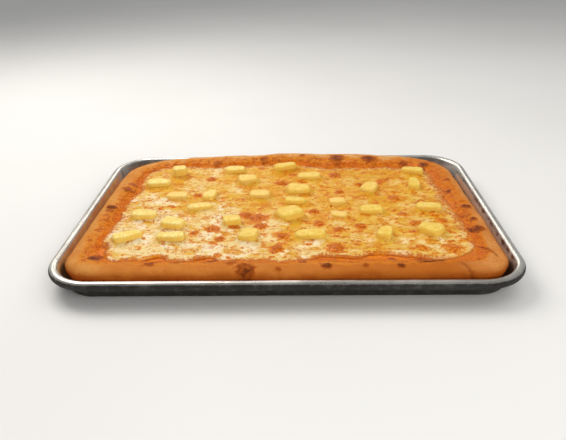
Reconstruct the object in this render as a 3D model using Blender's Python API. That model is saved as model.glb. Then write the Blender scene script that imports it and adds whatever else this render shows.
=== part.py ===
"""Rectangular pan pizza with pineapple, lying in the rimmed aluminium sheet pan that it was baked in.

Metres, +Z up. The origin is the centre of the pan's underside, +X runs along the pan's long side.
The pieces are the pan, the risen dough, the sauce, the melted cheese and each chunk of pineapple.
"""

import math
import random

import bmesh
import bpy
from mathutils import Vector, noise
from mathutils.geometry import delaunay_2d_cdt

MM = 0.001
GAP = 0.3 * MM  # air left between pieces that touch

# Sheet pan: a half-size one, 18 x 13 x 1 inch
PAN_LENGTH = 457.2 * MM
PAN_WIDTH = 330.2 * MM
PAN_HEIGHT = 25.4 * MM
PAN_CORNER = 47.5 * MM
PAN_SHEET = 1.0 * MM
PAN_BEAD_RADIUS = 4.75 * MM
PAN_WALL_LEAN = math.radians(22)
PAN_BEND_RADIUS = 6 * MM
PAN_CORNER_STEPS = 8
PAN_BEND_STEPS = 3
PAN_BEAD_STEPS = 9

# Dough: the outline of its bulging side, and the foot of its inner slope
DOUGH_CENTRE = (0, -1.5 * MM)
DOUGH_HALF_LENGTH = 208 * MM
DOUGH_HALF_WIDTH = 152.5 * MM
DOUGH_CORNERS = (60 * MM, 35 * MM)  # back, front
DOUGH_FLARE = 0.022  # how much wider the dough is in front than at its middle
RECESS_CENTRE = (1.5 * MM, -4.5 * MM)
RECESS_HALF_LENGTH = 178 * MM
RECESS_HALF_WIDTH = 116.5 * MM
RECESS_CORNERS = (28 * MM, 28 * MM)
RECESS_FLARE = 0.035  # how much wider the recess is in front than at its middle
RECESS_BACK_STEP = 15 * MM  # how much nearer its back edge lies on the right
RECESS_Z = 22 * MM
DOUGH_SIDE = [(12, 0), (7, 3.5), (4.6, 10), (1.6, 18), (0, 25), (3.6, 30.0)]  # mm in, mm up
CROWN_INSET = 10 * MM
CROWN_Z = 32.5 * MM
SLOPE = [(0.30, 31.9), (0.56, 28.6), (0.78, 25.5)]  # share of the way from crown to foot, mm up
SAUCE_EDGE, CHEESE_EDGE = 1, 2  # which ring of the slope each layer reaches
OUTLINE_STEPS = (33, 23, 8)  # along a long side, a short side and a corner
SIDE_WAVE = 1.3 * MM
CROWN_WAVE = 1.8 * MM
SWELLS = [  # x, y, reach and rise of the crown's slow swells in mm
    (-180, 140, 60, -4.0), (185, 140, 50, -3.0), (0, 142, 95, 2.8), (0, -142, 160, -1.5),
]
SLOPE_WAVE = 3.2 * MM

# Sauce and cheese
SAUCE_THICKNESS = 1.5 * MM
SAUCE_EDGE_THICKNESS = 0.7 * MM
CHEESE_LEVEL = 28.4 * MM
CHEESE_EDGE_THICKNESS = 1.3 * MM
CHEESE_WAVE = 0.9 * MM
CHEESE_STEP = 10 * MM
BLISTER_RISE = 1.8 * MM

# Browned blisters of the cheese: x, y and radius in mm
BLISTERS = [
    (-3, -80, 7), (-7, -106, 7), (-77, -62, 7), (-94, -71, 5), (-67, -85, 5), (-43, -31, 6),
    (-30, -37, 8), (-27, -57, 6), (50, -105, 9), (55, -67, 6), (35, -51, 6), (30, -22, 6),
    (127, -30, 6), (137, -51, 7), (165, -47, 6), (133, -105, 6), (163, -108, 9), (-7, 58, 7),
    (60, 83, 8), (86, 50, 6), (62, 31, 5), (124, 12, 8), (152, 3, 5), (-94, 74, 6),
    (-104, 24, 5), (78, -58, 6), (118, 66, 6), (8, 84, 5),
]

# Pineapple: x, y, length, width and rise above the cheese in mm, and turn in degrees
CHUNKS = [
    (-135, 87, 16, 13, 11, 12), (-155, 54, 28, 15, 6, 0), (-127, 19, 24, 16, 4, 8),
    (-88, 17, 23, 12, 6, 76), (-96, -14, 27, 12, 5, 12), (-66, 97, 24, 15, 5, 5),
    (-48, 63, 22, 18, 6, 15), (-31, 19, 23, 17, 5, -10), (-3, 102, 29, 13, 7, 20),
    (27, 73, 28, 15, 5, -5), (14, 32, 26, 18, 6, 0), (10, 0, 23, 12, 5, -3),
    (4, -34, 27, 24, 7, 32), (156, 87, 26, 13, 6, -15), (151, 46, 25, 12, 6, 84),
    (97, 34, 25, 16, 6, 62), (57, -1, 18, 13, 4, 10), (57, -34, 17, 11, 3, -15),
    (93, -24, 24, 15, 5, 5), (156, -20, 27, 14, 6, -18), (148, -74, 25, 20, 7, -35),
    (101, -80, 20, 13, 6, 68), (25, -82, 30, 14, 5, -3), (-37, -84, 22, 17, 7, 72),
    (-57, -51, 18, 16, 7, 8), (-118, -57, 25, 17, 7, -22), (-154, -34, 26, 16, 6, -4),
    (-116, -86, 28, 13, 6, -2), (-160, -86, 30, 13, 7, 30),
]
CHUNK_SINK = 3.0 * MM
CHUNK_POINTS = 12
CHUNK_ROUNDNESS = 0.58
CHUNK_RINGS = [(0.93, 0.0), (1.0, 0.22), (0.98, 0.74), (0.84, 1.0)]  # share of plan, share of height
CHUNK_TAPER = 0.22
CHUNK_TILT = 0.05
CHUNK_DOME = 0.5 * MM
POCKET_CLEARANCE = 0.4 * MM
POCKET_LIP = 1.9 * MM
POCKET_LIP_RISE = 0.5 * MM
SEED = 7


def clear_scene():
    for obj in list(bpy.data.objects):
        bpy.data.objects.remove(obj, do_unlink=True)


def make_material(name, colour, roughness, metallic=0.0):
    material = bpy.data.materials.new(name)
    material.use_nodes = True
    shader = material.node_tree.nodes["Principled BSDF"]
    shader.inputs["Base Color"].default_value = (*colour, 1)
    shader.inputs["Roughness"].default_value = roughness
    shader.inputs["Metallic"].default_value = metallic
    return material


def add_object(name, points, faces, material, parent=None):
    """One closed piece from its points and faces, with its normals turned outwards."""
    mesh = bpy.data.meshes.new(name)
    mesh.from_pydata([tuple(p) for p in points], [], faces)
    work = bmesh.new()
    work.from_mesh(mesh)
    bmesh.ops.recalc_face_normals(work, faces=work.faces)
    work.to_mesh(mesh)
    work.free()
    mesh.materials.append(material)
    mesh.shade_smooth()
    mesh.set_sharp_from_angle(angle=math.radians(50))
    obj = bpy.data.objects.new(name, mesh)
    bpy.context.scene.collection.objects.link(obj)
    obj.parent = parent
    return obj


def band(first, second, count):
    """Triangles between two rings that start at points first and second, always split the same way."""
    faces = []
    for i in range(count):
        j = (i + 1) % count
        faces.append((first + i, first + j, second + j))
        faces.append((first + i, second + j, second + i))
    return faces


def close_ring(points, faces, first, count, rise=0.0):
    """Close a ring that starts at point first with triangles to a point at its middle."""
    middle = sum(points[first:first + count], Vector()) / count
    points.append(middle + Vector((0, 0, rise)))
    for i in range(count):
        faces.append((first + i, first + (i + 1) % count, len(points) - 1))


def loft(rings, top_rise=0.0):
    """Points and faces of a closed solid through rings of equal count."""
    count = len(rings[0])
    points = [p for ring in rings for p in ring]
    faces = []
    for k in range(len(rings) - 1):
        faces += band(k * count, (k + 1) * count, count)
    close_ring(points, faces, 0, count)
    close_ring(points, faces, (len(rings) - 1) * count, count, top_rise)
    return points, faces


def rounded_rectangle(centre, half_length, half_width, radii, steps):
    """Points anticlockwise round a rectangle with round corners of radii back and front.

    Outlines made with equal steps match point for point.
    """
    long_steps, short_steps, corner_steps = steps
    back, front = radii
    corners = [
        (half_length - back, half_width - back, back, 0, long_steps),
        (back - half_length, half_width - back, back, 90, short_steps),
        (front - half_length, front - half_width, front, 180, long_steps),
        (half_length - front, front - half_width, front, 270, short_steps),
    ]
    points = []
    for k, (x, y, radius, start, side_steps) in enumerate(corners):
        for i in range(corner_steps + 1):
            turn = math.radians(start + 90 * i / corner_steps)
            points.append(Vector((x + radius * math.cos(turn), y + radius * math.sin(turn), 0)))
        next_x, next_y, next_radius, next_start, _ = corners[(k + 1) % 4]
        turn = math.radians(next_start)
        reach = Vector((math.cos(turn), math.sin(turn), 0)) * next_radius
        ahead = Vector((next_x, next_y, 0)) + reach
        last = points[-1]
        for i in range(1, side_steps):
            points.append(last.lerp(ahead, i / side_steps))
    return [p + Vector((*centre, 0)) for p in points]


def wave(point, scale, layer):
    """Smooth unevenness from -1 to 1, which repeats for the same place and layer."""
    return noise.noise(Vector((point.x / scale, point.y / scale, layer * 7.3)))


# Pan


def pan_profile():
    """(inset from the outer edge, height) from the floor's top over the bead to the underside."""
    lean = PAN_WALL_LEAN
    bead = (PAN_BEAD_RADIUS, PAN_HEIGHT - PAN_BEAD_RADIUS)
    tangent = (
        bead[0] + PAN_BEAD_RADIUS * math.cos(lean),
        bead[1] + PAN_BEAD_RADIUS * math.sin(lean),
    )
    inner_corner = tangent[0] + (tangent[1] - PAN_SHEET) * math.tan(lean)
    reach = PAN_BEND_RADIUS * math.tan((math.pi / 2 - lean) / 2)
    bend = (inner_corner + reach, PAN_SHEET + PAN_BEND_RADIUS)
    sweep = math.pi / 2 - lean

    def bend_point(radius, share):
        turn = sweep * share
        return (bend[0] - radius * math.sin(turn), bend[1] - radius * math.cos(turn))

    inside = [bend_point(PAN_BEND_RADIUS, i / PAN_BEND_STEPS) for i in range(PAN_BEND_STEPS + 1)]
    under = math.radians(228)  # where the bead's curl meets the outside of the wall
    curl = []
    for i in range(PAN_BEAD_STEPS + 1):
        turn = lean + (under - lean) * i / PAN_BEAD_STEPS
        curl.append((bead[0] + PAN_BEAD_RADIUS * math.cos(turn), bead[1] + PAN_BEAD_RADIUS * math.sin(turn)))
    outer = PAN_BEND_RADIUS + PAN_SHEET
    outside = [bend_point(outer, 1 - i / PAN_BEND_STEPS) for i in range(PAN_BEND_STEPS + 1)]
    join_z = curl[-1][1] - 1.2 * MM
    join = (outside[0][0] - (join_z - outside[0][1]) * math.tan(lean), join_z)
    return inside + curl + [join] + outside


def make_pan(material):
    rings = []
    for inset, height in pan_profile():
        corner = PAN_CORNER - inset
        ring = rounded_rectangle(
            (0, 0), PAN_LENGTH / 2 - inset, PAN_WIDTH / 2 - inset, (corner, corner), (1, 1, PAN_CORNER_STEPS)
        )
        rings.append([p + Vector((0, 0, height)) for p in ring])
    points, faces = loft(rings)
    return add_object("sheet_pan", points, faces, material)


# Dough, sauce and cheese share the rings of the dough's inner slope


def dough_outline(inset):
    corners = [radius - inset for radius in DOUGH_CORNERS]
    points = rounded_rectangle(
        DOUGH_CENTRE, DOUGH_HALF_LENGTH - inset, DOUGH_HALF_WIDTH - inset, corners, OUTLINE_STEPS
    )
    for p in points:
        p.x *= 1 - DOUGH_FLARE * p.y / DOUGH_HALF_WIDTH
    return points


def recess_outline():
    """The foot of the slope, wider in front and stepped at the back as the risen rim left it."""
    points = rounded_rectangle(
        RECESS_CENTRE, RECESS_HALF_LENGTH, RECESS_HALF_WIDTH, RECESS_CORNERS, OUTLINE_STEPS
    )
    for p in points:
        back = max(0, p.y / RECESS_HALF_WIDTH) ** 2
        right = 1 / (1 + math.exp(-(p.x - 32 * MM) / (9 * MM)))
        p.x *= 1 - RECESS_FLARE * p.y / RECESS_HALF_WIDTH
        p.y -= RECESS_BACK_STEP * back * right
    return points


def crown_height(point):
    """The rim's top, uneven as risen dough is, lowest at the far left corner and highest at the back."""
    height = CROWN_Z + CROWN_WAVE * (wave(point, 45 * MM, 1) + 0.5 * wave(point, 24 * MM, 8))
    for x, y, reach, rise in SWELLS:
        away = math.hypot(point.x - x * MM, point.y - y * MM) / (reach * MM)
        height += rise * MM * math.exp(-away * away)
    return height


def side_rings():
    """The dough's outer face, from its underside up to just below the crown."""
    base = PAN_SHEET + GAP
    outermost = dough_outline(0)
    rings = []
    for inset, height in DOUGH_SIDE:
        share = height / DOUGH_SIDE[-1][1]
        ring = []
        for out, p in zip(outermost, dough_outline(inset * MM)):
            outward = Vector((out.x, out.y, 0)).normalized()
            rise = (crown_height(out) - CROWN_Z) * share
            swell = SIDE_WAVE * (wave(out, 38 * MM, 2) + 0.4 * wave(out, 20 * MM, 9 + share))
            swell *= math.sin(math.pi * min(1, share + 0.1))
            top = height * MM + rise if height else 0
            ring.append(p + outward * swell + Vector((0, 0, base + top)))
        rings.append(ring)
    return rings


def slope_rings():
    """The crown, the rings down its inner slope and the foot where the flat recess starts."""
    foot = recess_outline()
    crown = dough_outline(CROWN_INSET)
    rings = [[Vector((p.x, p.y, crown_height(p))) for p in crown]]
    for k, (share, height) in enumerate(SLOPE):
        ring = []
        for top, low in zip(crown, foot):
            inward = Vector((low.x - top.x, low.y - top.y, 0))
            push = SLOPE_WAVE * (1 + wave(top, 19 * MM, 3)) * math.sin(math.pi * share)
            lift = (crown_height(top) - CROWN_Z) * (1 - share)
            point = Vector((top.x, top.y, 0)) + inward * share + inward.normalized() * (push - SLOPE_WAVE)
            ring.append(Vector((point.x, point.y, height * MM + lift)))
        rings.append(ring)
    rings.append([Vector((p.x, p.y, RECESS_Z)) for p in foot])
    return rings


def raised(ring, height):
    return [p + Vector((0, 0, height)) for p in ring]


def make_dough(slope, material, parent):
    points, faces = loft(side_rings() + slope)
    return add_object("dough", points, faces, material, parent)


def sauce_top(slope):
    """The sauce's upper rings: its edge part way up the slope, then down to the recess."""
    rings = slope[1 + SAUCE_EDGE:]
    top = []
    for k, ring in enumerate(rings):
        share = k / (len(rings) - 1)
        thickness = SAUCE_EDGE_THICKNESS + (SAUCE_THICKNESS - SAUCE_EDGE_THICKNESS) * share
        top.append(raised(ring, GAP + thickness))
    return top


def make_sauce(slope, material, parent):
    """A thin layer whose underside has the triangles of the slope that it lies on."""
    under = [raised(ring, GAP) for ring in slope[1 + SAUCE_EDGE:]]
    top = sauce_top(slope)
    count = len(top[0])
    points = [p for ring in under + top for p in ring]
    upper = len(under) * count
    faces = band(0, upper, count)
    for k in range(len(top) - 1):
        faces += band(k * count, (k + 1) * count, count)
        faces += band(upper + k * count, upper + (k + 1) * count, count)
    close_ring(points, faces, upper - count, count)
    close_ring(points, faces, 2 * upper - count, count)
    return add_object("sauce", points, faces, material, parent)


def cheese_height(point):
    """The melted cheese's surface: gently uneven, with its browned blisters standing up."""
    height = CHEESE_LEVEL + CHEESE_WAVE * wave(point, 34 * MM, 5) + 0.4 * MM * wave(point, 13 * MM, 6)
    for x, y, radius in BLISTERS:
        away = math.hypot(point.x - x * MM, point.y - y * MM) / (radius * MM)
        if away < 1:
            height += BLISTER_RISE * (1 - away * away) ** 1.5
    return height


def chunk_sizes(chunk):
    """A chunk's centre, half length, half width, rise and turn, in metres and radians."""
    x, y, length, width, rise, turn = chunk
    centre = Vector((x * MM, y * MM, 0))
    return centre, length * MM / 2, width * MM / 2, rise * MM, math.radians(turn)


def chunk_plan(chunk, taper, grow=0.0):
    """Points round a chunk seen from above, a blunt wedge about its own centre, grown outwards by grow."""
    _, half_length, half_width, _, _ = chunk_sizes(chunk)
    points = []
    for i in range(CHUNK_POINTS):
        turn = 2 * math.pi * (i + 0.5) / CHUNK_POINTS
        c, s = math.cos(turn), math.sin(turn)
        along = math.copysign(abs(c) ** CHUNK_ROUNDNESS, c)
        across = math.copysign(abs(s) ** CHUNK_ROUNDNESS, s)
        width = (half_width + grow) * (1 + taper * along)
        points.append(Vector(((half_length + grow) * along, width * across, 0)))
    return points


def placed(points, chunk):
    """Plan points of a chunk turned and moved to where it lies."""
    centre, _, _, _, turn = chunk_sizes(chunk)
    c, s = math.cos(turn), math.sin(turn)
    return [centre + Vector((p.x * c - p.y * s, p.x * s + p.y * c, 0)) for p in points]


def seat_height(chunk):
    """The floor of a chunk's pocket in the cheese."""
    centre = chunk_sizes(chunk)[0]
    return CHEESE_LEVEL + 0.5 * CHEESE_WAVE * wave(centre, 34 * MM, 5) - CHUNK_SINK


def inside(point, outline):
    hit = False
    for a, b in zip(outline, outline[1:] + outline[:1]):
        if (a.y > point.y) != (b.y > point.y):
            if point.x < a.x + (b.x - a.x) * (point.y - a.y) / (b.y - a.y):
                hit = not hit
    return hit


def far_from(point, points, distance):
    return all((p.x - point.x) ** 2 + (p.y - point.y) ** 2 > distance**2 for p in points)


def cheese_surface(edge, tapers):
    """Points and triangles of the cheese's top, with a pocket for each chunk of pineapple."""
    points = [p.copy() for p in edge]
    fixed_edges = [(i, (i + 1) % len(edge)) for i in range(len(edge))]
    lips = [placed(chunk_plan(c, t, POCKET_LIP), c) for c, t in zip(CHUNKS, tapers)]
    walls = [placed(chunk_plan(c, t, POCKET_CLEARANCE), c) for c, t in zip(CHUNKS, tapers)]
    for k, (chunk, wall) in enumerate(zip(CHUNKS, walls)):
        start = len(points)
        seat = seat_height(chunk)
        points += [Vector((p.x, p.y, seat)) for p in wall]
        fixed_edges += [(start + i, start + (i + 1) % len(wall)) for i in range(len(wall))]
        others = [w for j, w in enumerate(walls) if j != k]
        lip_start = len(points)
        for p in lips[k]:
            if not any(inside(p, w) for w in others) and far_from(p, points, 1.2 * MM):
                points.append(Vector((p.x, p.y, cheese_height(p) + POCKET_LIP_RISE)))
        if len(points) == lip_start + CHUNK_POINTS:
            fixed_edges += [(lip_start + i, lip_start + (i + 1) % CHUNK_POINTS) for i in range(CHUNK_POINTS)]
    for x, y, radius in BLISTERS:
        spots = [Vector((x * MM, y * MM, 0))]
        for i in range(6):
            turn = math.radians(60 * i)
            spots.append(spots[0] + Vector((math.cos(turn), math.sin(turn), 0)) * radius * MM * 0.62)
        for p in spots:
            if not any(inside(p, lip) for lip in lips) and far_from(p, points, 2 * MM):
                points.append(Vector((p.x, p.y, cheese_height(p))))
    scatter = random.Random(SEED)
    inner = [p for p in edge]
    columns = int(2 * DOUGH_HALF_LENGTH / CHEESE_STEP)
    rows = int(2 * DOUGH_HALF_WIDTH / CHEESE_STEP)
    for row in range(rows):
        for column in range(columns):
            x = -DOUGH_HALF_LENGTH + (column + 0.5 * (row % 2)) * CHEESE_STEP
            y = -DOUGH_HALF_WIDTH + row * CHEESE_STEP
            shift = [scatter.uniform(-0.22, 0.22) * CHEESE_STEP for _ in range(2)]
            p = Vector((x + shift[0], y + shift[1], 0))
            clear = inside(p, inner) and far_from(p, points, 0.5 * CHEESE_STEP)
            if clear and not any(inside(p, lip) for lip in lips):
                points.append(Vector((p.x, p.y, cheese_height(p))))
    flat = [p.to_2d() for p in points]
    made = delaunay_2d_cdt(flat, fixed_edges, [tuple(range(len(edge)))], 1, 1e-7)
    source = [origin[0] for origin in made[3]]
    return points, [tuple(source[i] for i in face) for face in made[2]]


def make_cheese(slope, tapers, material, parent):
    """Its edge lies on the sauce part way down the slope, its underside follows the sauce."""
    under = [raised(ring, GAP) for ring in sauce_top(slope)[CHEESE_EDGE - SAUCE_EDGE:]]
    count = len(under[0])
    edge = raised(under[0], CHEESE_EDGE_THICKNESS)
    top, top_faces = cheese_surface(edge, tapers)
    points = top + [p for ring in under for p in ring]
    first = len(top)
    faces = top_faces + band(0, first, count)
    for k in range(len(under) - 1):
        faces += band(first + k * count, first + (k + 1) * count, count)
    close_ring(points, faces, len(points) - count, count)
    return add_object("cheese", points, faces, material, parent)


# Pineapple


def make_chunk(number, chunk, taper, material, parent, scatter):
    """A wedge cut from a ring of pineapple, standing in its pocket."""
    centre, half_length, half_width, rise, turn = chunk_sizes(chunk)
    height = rise + CHUNK_SINK
    lean = Vector((scatter.uniform(-1, 1), scatter.uniform(-1, 1), 0)) * CHUNK_TILT
    rings = []
    for share, level in CHUNK_RINGS:
        plan = chunk_plan(chunk, taper)
        rings.append([Vector((p.x * share, p.y * share, height * level + p.dot(lean) * level)) for p in plan])
    points, faces = loft(rings, CHUNK_DOME)
    obj = add_object(f"pineapple_{number:02d}", points, faces, material, parent)
    obj.location = (centre.x, centre.y, seat_height(chunk) + GAP)
    obj.rotation_euler = (0, 0, turn)
    return obj


def main():
    clear_scene()
    pan = make_material("bare_aluminium", (0.62, 0.60, 0.57), 0.35, 1.0)
    dough = make_material("baked_dough", (0.66, 0.33, 0.10), 0.7)
    sauce = make_material("tomato_sauce", (0.74, 0.22, 0.03), 0.4)
    cheese = make_material("melted_cheese", (0.90, 0.68, 0.30), 0.4)
    fruit = make_material("pineapple_flesh", (0.88, 0.66, 0.12), 0.35)
    make_pan(pan)
    pizza = bpy.data.objects.new("pizza", None)
    bpy.context.scene.collection.objects.link(pizza)
    slope = slope_rings()
    make_dough(slope, dough, pizza)
    make_sauce(slope, sauce, pizza)
    scatter = random.Random(SEED)
    tapers = [scatter.uniform(-1, 1) * CHUNK_TAPER for _ in CHUNKS]
    make_cheese(slope, tapers, cheese, pizza)
    for number, (chunk, taper) in enumerate(zip(CHUNKS, tapers), 1):
        make_chunk(number, chunk, taper, fruit, pizza, scatter)


main()
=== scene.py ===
"""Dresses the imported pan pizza: worn aluminium, baked crust, oily sauce, browned cheese and pineapple.

Metres, in the row frame: +X along the pan's long side, +Y away from the viewer, +Z up.
"""

import math
import random

import bpy
import numpy as np
from mathutils import Matrix, Vector, kdtree, noise


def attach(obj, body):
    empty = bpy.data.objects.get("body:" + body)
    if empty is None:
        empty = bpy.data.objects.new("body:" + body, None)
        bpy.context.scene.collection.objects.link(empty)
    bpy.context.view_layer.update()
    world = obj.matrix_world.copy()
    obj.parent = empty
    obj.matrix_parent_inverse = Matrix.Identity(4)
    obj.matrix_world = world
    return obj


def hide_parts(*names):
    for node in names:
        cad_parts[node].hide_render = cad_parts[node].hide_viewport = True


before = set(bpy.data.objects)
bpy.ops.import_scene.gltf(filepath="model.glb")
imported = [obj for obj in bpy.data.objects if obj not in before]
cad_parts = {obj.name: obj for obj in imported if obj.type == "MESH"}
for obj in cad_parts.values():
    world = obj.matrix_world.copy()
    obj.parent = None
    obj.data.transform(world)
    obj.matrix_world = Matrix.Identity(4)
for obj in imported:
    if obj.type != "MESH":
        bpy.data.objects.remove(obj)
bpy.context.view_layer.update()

MM = 0.001
GAP = 0.3 * MM

# The pan's sizes, as the solid has them
PAN_LENGTH = 457.2 * MM
PAN_WIDTH = 330.2 * MM
PAN_HEIGHT = 25.4 * MM
PAN_CORNER = 47.5 * MM
PAN_SHEET = 1.0 * MM
PAN_BEAD_RADIUS = 4.75 * MM
PAN_WALL_LEAN = math.radians(22)
PAN_BEND_RADIUS = 6 * MM
PAN_STEPS = (24, 16, 28)  # along a long side, a short side and a corner
PAN_BEND_STEPS = 8
PAN_BEAD_STEPS = 28
PAN_BEAD_END = math.radians(228)
PAN_HEM_DROP = 1.2 * MM
PAN_TINTED_STEPS = 4  # how far up the bead the brown tint of the inner wall, grease stains and painted reflection of the crust, fades out
PAN_OUTER_INSET = 5 * MM
# Painted shade and dark reflection on the bead's outer half and the outer wall: none above the first
# height, full below the second
PAN_SHADE_TOP = 25.2 * MM
PAN_SHADE_FULL = 23 * MM
# Corners of the pan, on both sides: place, then where the effect is full and where it ends
PAN_BRIGHT_CORNER = ((205 * MM, 145 * MM), (25 * MM, 55 * MM))
# dark brown in the gaps by the crust at the front corners: painted shade, with burnt-on grease
PAN_SHADE_AND_BURN_CORNER = ((212 * MM, -142 * MM), (22 * MM, 50 * MM))

# The dough's sizes, as the solid has them
DOUGH_CENTRE = (0, -1.5 * MM)
DOUGH_HALF_LENGTH = 208 * MM
DOUGH_HALF_WIDTH = 152.5 * MM
DOUGH_CORNERS = (60 * MM, 35 * MM)
DOUGH_FLARE = 0.022
RECESS_CENTRE = (1.5 * MM, -4.5 * MM)
RECESS_HALF_LENGTH = 178 * MM
RECESS_HALF_WIDTH = 116.5 * MM
RECESS_CORNERS = (28 * MM, 28 * MM)
RECESS_FLARE = 0.035
RECESS_BACK_STEP = 15 * MM
RECESS_Z = 22 * MM
DOUGH_SIDE = [(12, 0), (7, 3.5), (4.6, 10), (1.6, 18), (0, 25), (3.6, 30.0)]
CROWN_INSET = 10 * MM
CROWN_Z = 32.5 * MM
SLOPE = [(0.30, 31.9), (0.56, 28.6), (0.78, 25.5)]
OUTLINE_STEPS = (198, 138, 48)  # six times as fine as the solid's
ROWS_A_RING = 5  # rows of the fine dough for each ring of the solid
CROWN_ROW = 6 * ROWS_A_RING
FOOT_ROW = 10 * ROWS_A_RING
RECESS_ROWS = 12  # further rows inwards over the recess
RECESS_ROW_STEP = 1.1 * MM
SAUCE_GUIDE_ROW = 8 * ROWS_A_RING  # the unevenness of the sauce's edge is read along this row
SAUCE_EDGE_ROW = 37.5
SAUCE_END_ROW = 61.5
CHEESE_GUIDE_ROW = 43  # and that of the cheese's edge along this one
CHEESE_EDGE_ROW = 44.5
CHEESE_EDGE_LIMITS = (38, 59)
SIDE_WAVE = 1.3 * MM
CROWN_WAVE = 1.8 * MM
SWELLS = [(-180, 140, 60, -4.0), (185, 140, 50, -3.0), (0, 142, 95, 2.8), (0, -142, 160, -1.5)]
SLOPE_WAVE = 3.2 * MM

# The cheese's sizes, as the solid has them
CHEESE_LEVEL = 28.4 * MM
CHEESE_WAVE = 0.9 * MM
CHEESE_CELLS = (306, 212)
CHEESE_UNDERSIDE = 24.2 * MM
BLISTER_RISE = 1.8 * MM
BLISTERS = [  # x, y and radius in mm, three of them 1 to 2 mm wider than the solid's
    (-3, -80, 7), (-7, -106, 7), (-77, -62, 7), (-94, -71, 5), (-67, -85, 5), (-43, -31, 8),
    (-30, -37, 10), (-27, -57, 7), (50, -105, 9), (55, -67, 6), (35, -51, 6), (30, -22, 6),
    (127, -30, 6), (137, -51, 7), (165, -47, 6), (133, -105, 6), (163, -108, 9), (-7, 58, 7),
    (60, 83, 8), (86, 50, 6), (62, 31, 5), (124, 12, 8), (152, 3, 5), (-94, 74, 6),
    (-104, 24, 5), (78, -58, 6), (118, 66, 6), (8, 84, 5),
]
SMALL_SPOTS = 420
SPOT_RADII = (1.2 * MM, 1.5 * MM, 1.8 * MM, 2.2 * MM, 2.8 * MM, 3.6 * MM)
POOL_LEVEL = 26.8 * MM  # where oil and sauce stand against the cheese's edge
BAYS = [  # x, y, half width and depth in mm of the bays where oil pools against the cheese's edge
    (-127, -130, 11, 11), (-84, -130, 7, 7), (-72, -130, 8, 9), (-184, -113, 15, 9), (-190, -80, 14, -2.5),
    (38, -130, 12, 10), (60, -130, 12, 8), (84, -130, 13, 11), (104, -130, 14, 13), (128, -130, 12, 8),
    (-190, -40, 12, 4), (-178, 40, 14, 5), (184, 10, 12, 4), (184, 60, 10, 3), (-100, 116, 12, 4),
    (62, 106, 14, 3),
]  # a negative depth is a bulge

# Baked spots of the crust: x, y and radius in mm, then darkness
CHAR = [
    (-183, -124, 8, 1.1), (-127, -139, 7, 0.8), (-71, -130, 7, 1.05), (-102, -135, 7, 0.65),
    (-36, -148, 11, 0.85), (-49, -138, 7, 0.65), (-6, -147, 4, 0.6), (17, -134, 6, 0.65),
    (39, -144, 6, 1.05), (75, -145, 4, 0.7),
    (101, -128, 7, 1.0), (107, -145, 5, 0.9), (178, -127, 4, 0.6), (197, -19, 7, 1.0), (196, -72, 8, 1.0),
    (197, -50, 5, 0.8), (186, 28, 7, 0.9), (-195, -14, 7, 1.0), (-196, -23, 6, 0.7), (-190, 36, 8, 0.7),
    (-187, 52, 7, 0.6), (64, 131, 12, 0.9), (106, 130, 12, 0.9), (76, 114, 8, 0.6), (-92, 124, 8, 0.6),
    (150, 121, 9, 0.7), (175, 113, 9, 0.9), (-32, 132, 7, 0.6), (190, -40, 5, 0.6), (-150, -130, 4, 0.5),
    (130, -131, 5, 0.6), (-188, -60, 6, 0.5), (193, 60, 5, 0.6), (20, 138, 6, 0.5), (-150, 119, 8, 0.5),
]
CREASES = [  # each runs through points x, y, z in mm
    [(163, -139, 34), (166, -147, 32), (169, -151, 27), (171, -153, 22), (171, -153, 15)],
    [(193, -108, 32), (196, -113, 31), (199, -119, 30), (200, -126, 29)],
    [(122, -134, 30), (129, -136, 30), (135, -137, 30), (143, -135, 30), (149, -131, 30),
     (153, -126, 30)],
]

CURL_CENTRE = (140, -95)
CALM_CENTRE = (165 * MM, -108 * MM)  # the smooth cheese inside the folded lip
CURL = [  # the folded lip round the cheese's front right corner, through x, y in mm, anticlockwise
    (128, -129), (146, -128), (160, -125), (172, -118), (180, -111), (184, -103), (182, -95), (177, -91),
]

# Pineapple as the solids have it: x, y, length, width and rise above the cheese in mm, and turn in degrees
CHUNKS = [
    (-135, 87, 16, 13, 11, 12), (-155, 54, 28, 15, 6, 0), (-127, 19, 24, 16, 4, 8),
    (-88, 17, 23, 12, 6, 76), (-96, -14, 27, 12, 5, 12), (-66, 97, 24, 15, 5, 5),
    (-48, 63, 22, 18, 6, 15), (-31, 19, 23, 17, 5, -10), (-3, 102, 29, 13, 7, 20),
    (27, 73, 28, 15, 5, -5), (14, 32, 26, 18, 6, 0), (10, 0, 23, 12, 5, -3),
    (4, -34, 27, 24, 7, 32), (156, 87, 26, 13, 6, -15), (151, 46, 25, 12, 6, 84),
    (97, 34, 25, 16, 6, 62), (57, -1, 18, 13, 4, 10), (57, -34, 17, 11, 3, -15),
    (93, -24, 24, 15, 5, 5), (156, -20, 27, 14, 6, -18), (148, -74, 25, 20, 7, -35),
    (101, -80, 20, 13, 6, 68), (25, -82, 30, 14, 5, -3), (-37, -84, 22, 17, 7, 72),
    (-57, -51, 18, 16, 7, 8), (-118, -57, 25, 17, 7, -22), (-154, -34, 26, 16, 6, -4),
    (-116, -86, 28, 13, 6, -2), (-160, -86, 30, 13, 7, 30),
]
CHUNK_SINK = 3.0 * MM
CHUNK_ROUNDNESS = 0.58
CHUNK_RINGS = [(0.93, 0.0), (1.0, 0.22), (0.98, 0.76), (0.87, 1.0)]
CHUNK_TAPER = 0.22
CHUNK_TILT = 0.05
CHUNK_DOME = 0.5 * MM
CHUNK_PLUMP = 0.8 * MM  # how far the soft flesh swells past the plain solid
PLUMP_BELOW = 9  # chunks that rise less than this in mm swell upwards too
CHUNK_POINTS = 44
SMEARED = {  # how far cheese covers a chunk, by the chunk's number
    3: 0.9, 5: 0.5, 7: 0.5, 8: 0.8, 10: 0.5, 11: 0.4, 16: 0.5, 17: 0.8, 18: 0.9, 20: 0.3, 24: 0.3, 27: 0.3,
}
COLLAR_LIMIT = 2.6 * MM  # the highest that cheese is drawn up round a chunk
SEED = 7

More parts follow.
